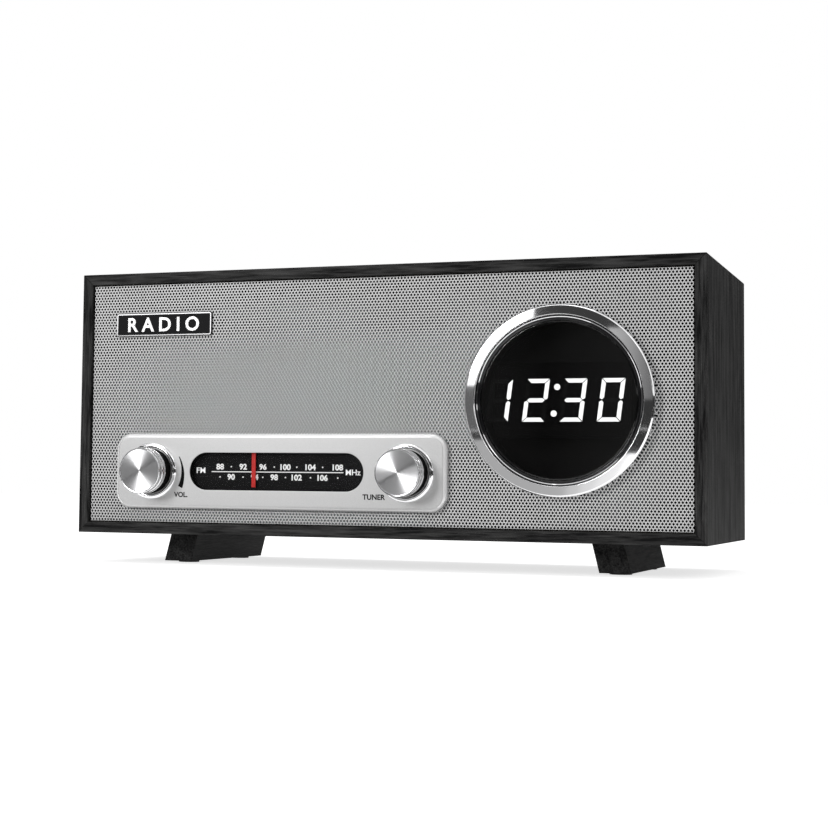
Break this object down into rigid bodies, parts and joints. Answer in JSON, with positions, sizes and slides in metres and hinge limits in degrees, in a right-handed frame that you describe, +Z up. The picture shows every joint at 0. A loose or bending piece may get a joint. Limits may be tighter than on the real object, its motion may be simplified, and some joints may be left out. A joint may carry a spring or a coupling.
{
  "type": "clock radio",
  "caption": "Table-top clock radio: wooden box on splayed feet, perforated front, metal control plate with sliding dial pointer, round clock, turned knobs and top keys.",
  "frame": {"origin": "on the table under the middle of the whole radio, knobs included", "axes": "+X to the right of a person facing the front, +Y to the back, +Z up; the front faces -Y"},
  "size_m": [0.356, 0.1574, 0.1674],
  "materials": {
    "cabinet_wood": "black ash veneer, satin lacquer",
    "foot_wood": "black ash, satin lacquer",
    "felt": "felt",
    "zinc_steel": "zinc plated",
    "black_steel": "black paint",
    "perforated_steel": "silver lacquer, perforated",
    "speaker_cloth": "woven",
    "fibreboard": "raw fibreboard",
    "rear_board": "black painted board",
    "badge_metal": "polished letters on black",
    "satin_plate": "satin",
    "clear_lens": "clear acrylic",
    "dial_print": "black print",
    "pointer_red": "moulded red",
    "black_plastic": "moulded",
    "drive_cord": "braided",
    "white_nylon": "moulded nylon",
    "brass": "turned",
    "chrome": "polished",
    "spun_aluminium": "spun",
    "dark_ring": "dark satin",
    "smoked_lens": "smoked acrylic",
    "display_module": "black, white segments",
    "foam_rubber": "half roll",
    "ferrite": "ferrite",
    "speaker_paper": "pressed paper",
    "button_plastic": "moulded keys",
    "circuit_board": "solder mask"
  },
  "bodies": {
    "root": {"aerial_gland": "black_plastic", "aux_jack": "black_plastic", "badge": "badge_metal", "board_screws": "zinc_steel", "button_board": "circuit_board", "cabinet_bottom": "cabinet_wood", "cabinet_left": "cabinet_wood", "cabinet_right": "cabinet_wood", "cabinet_top": "cabinet_wood", "clock_bezel": "chrome", "clock_display": "display_module", "clock_housing": "black_plastic", "clock_inner_ring": "dark_ring", "clock_lens": "smoked_lens", "control_plate": "satin_plate", "dial_bracket": "zinc_steel", "dial_cord": "drive_cord", "dial_lens": "clear_lens", "dial_scale": "dial_print", "foot_left": "foot_wood", "foot_pads": "felt", "foot_right": "foot_wood", "foot_screws": "zinc_steel", "front_baffle": "fibreboard", "grille_cloth": "speaker_cloth", "grille_sheet": "perforated_steel", "knob_rings": "chrome", "main_board": "circuit_board", "pointer_rail": "zinc_steel", "power_inlet": "black_plastic", "rear_cleats": "fibreboard", "rear_panel": "rear_board", "rear_screws": "black_steel", "socket_board": "circuit_board", "speaker_baskets": "black_steel", "speaker_magnets": "ferrite", "speaker_surrounds": "foam_rubber", "top_panel": "black_plastic", "tuning_resistor": "zinc_steel", "volume_control": "zinc_steel"},
    "tuner": {"tuner_knob": "chrome", "tuner_knob_face": "spun_aluminium", "tuner_spindle": "brass"},
    "pointer": {"dial_pointer": "pointer_red", "pointer_carriage": "black_plastic"},
    "drum": {"cord_drum": "white_nylon"},
    "left_idler": {"idler_left": "white_nylon"},
    "right_idler": {"idler_right": "white_nylon"},
    "volume": {"volume_knob": "chrome", "volume_knob_face": "spun_aluminium", "volume_shaft": "brass"},
    "source_slide": {"source_slider": "button_plastic"},
    "left_cone": {"speaker_left_cone": "speaker_paper"},
    "right_cone": {"speaker_right_cone": "speaker_paper"},
    "snooze_key": {"snooze_bar": "button_plastic"},
    "time_key": {"time_button": "button_plastic"},
    "alarm_key": {"alarm_button": "button_plastic"},
    "sleep_key": {"sleep_button": "button_plastic"},
    "hour_key": {"hour_button": "button_plastic"},
    "minute_key": {"minute_button": "button_plastic"}
  },
  "joints": [
    {"name": "tuner_turn", "type": "hinge", "parent": "root", "child": "tuner", "pos_m": [0.01995, -0.06125, 0.0523], "axis": [0, 1, 0], "range_deg": [-399.4, 930.3]},
    {"name": "pointer_slide", "type": "slide", "parent": "root", "child": "pointer", "axis": [1, 0, 0], "range_m": [-0.02102, 0.04882]},
    {"name": "drum_turn", "type": "hinge", "parent": "root", "child": "drum", "pos_m": [-0.051, -0.05175, 0.0505], "axis": [0, 1, 0], "range_deg": [-86.1, 199.8]},
    {"name": "left_idler_turn", "type": "hinge", "parent": "root", "child": "left_idler", "pos_m": [-0.104, -0.05175, 0.065], "axis": [0, 1, 0], "range_deg": [-399.9, 930.8]},
    {"name": "right_idler_turn", "type": "hinge", "parent": "root", "child": "right_idler", "pos_m": [0.002, -0.05175, 0.065], "axis": [0, 1, 0], "range_deg": [-399.9, 930.8]},
    {"name": "volume_turn", "type": "hinge", "parent": "root", "child": "volume", "pos_m": [-0.13095, -0.06125, 0.0523], "axis": [0, 1, 0], "range_deg": [-150, 150]},
    {"name": "source_slide_move", "type": "slide", "parent": "root", "child": "source_slide", "axis": [1, 0, 0], "range_m": [-0.004, 0.004]},
    {"name": "left_cone_move", "type": "slide", "parent": "root", "child": "left_cone", "axis": [0, 1, 0], "range_m": [-0.001, 0.001], "stiffness_N_per_m": 2000},
    {"name": "right_cone_move", "type": "slide", "parent": "root", "child": "right_cone", "axis": [0, 1, 0], "range_m": [-0.001, 0.001], "stiffness_N_per_m": 2000},
    {"name": "snooze_press", "type": "slide", "parent": "root", "child": "snooze_key", "axis": [0, 0, -1], "range_m": [0, 0.0008], "stiffness_N_per_m": 1200},
    {"name": "time_press", "type": "slide", "parent": "root", "child": "time_key", "axis": [0, 0, -1], "range_m": [0, 0.0008], "stiffness_N_per_m": 1200},
    {"name": "alarm_press", "type": "slide", "parent": "root", "child": "alarm_key", "axis": [0, 0, -1], "range_m": [0, 0.0008], "stiffness_N_per_m": 1200},
    {"name": "sleep_press", "type": "slide", "parent": "root", "child": "sleep_key", "axis": [0, 0, -1], "range_m": [0, 0.0008], "stiffness_N_per_m": 1200},
    {"name": "hour_press", "type": "slide", "parent": "root", "child": "hour_key", "axis": [0, 0, -1], "range_m": [0, 0.0008], "stiffness_N_per_m": 1200},
    {"name": "minute_press", "type": "slide", "parent": "root", "child": "minute_key", "axis": [0, 0, -1], "range_m": [0, 0.0008], "stiffness_N_per_m": 1200}
  ],
  "couplings": [
    {"joint": "pointer_slide", "follows": "tuner_turn", "m_per_rad": 0.003},
    {"joint": "drum_turn", "follows": "tuner_turn", "ratio": 0.21429},
    {"joint": "left_idler_turn", "follows": "tuner_turn", "ratio": 1},
    {"joint": "right_idler_turn", "follows": "tuner_turn", "ratio": 1}
  ]
}
